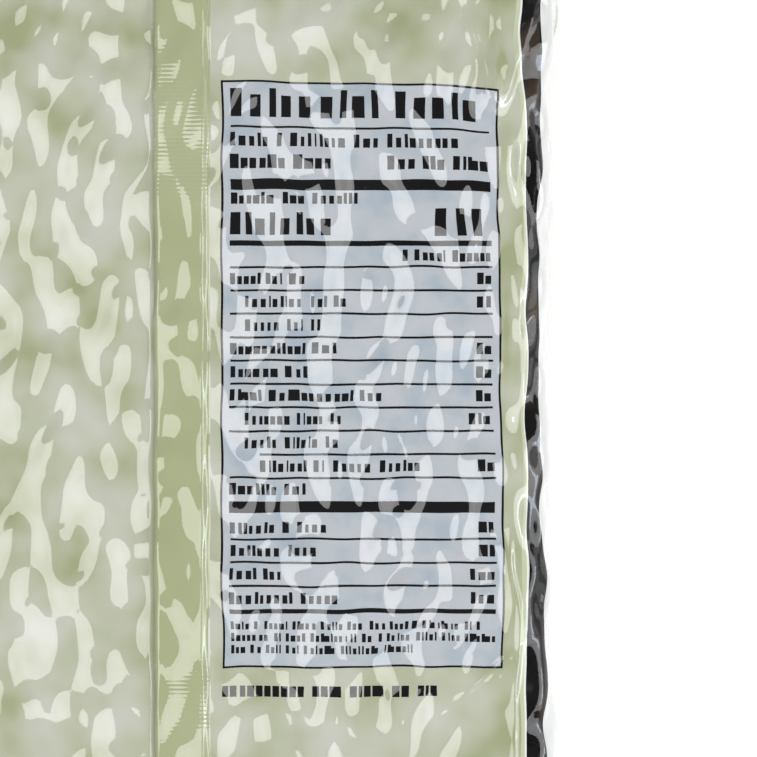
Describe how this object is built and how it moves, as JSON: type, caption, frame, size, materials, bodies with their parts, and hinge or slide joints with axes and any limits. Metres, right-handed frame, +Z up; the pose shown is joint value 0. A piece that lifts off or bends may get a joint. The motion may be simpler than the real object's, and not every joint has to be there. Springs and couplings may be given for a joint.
{
  "type": "bag of dried beans",
  "caption": "Sealed pillow bag of thin film drawn tight over dried beans, lying on its front with its back seam and back panel up.",
  "frame": {"origin": "bottom centre of the bounding box, on the flat underside that the bag lies on", "axes": "+Z up through the back panel, +Y along the bag towards its top end seal, +X across the bag to the right as the back panel is read"},
  "size_m": [0.1404, 0.222, 0.0294],
  "materials": {
    "film": "glossy printed film, sage green"
  },
  "bodies": {
    "root": {"bag": "film"}
  },
  "joints": []
}
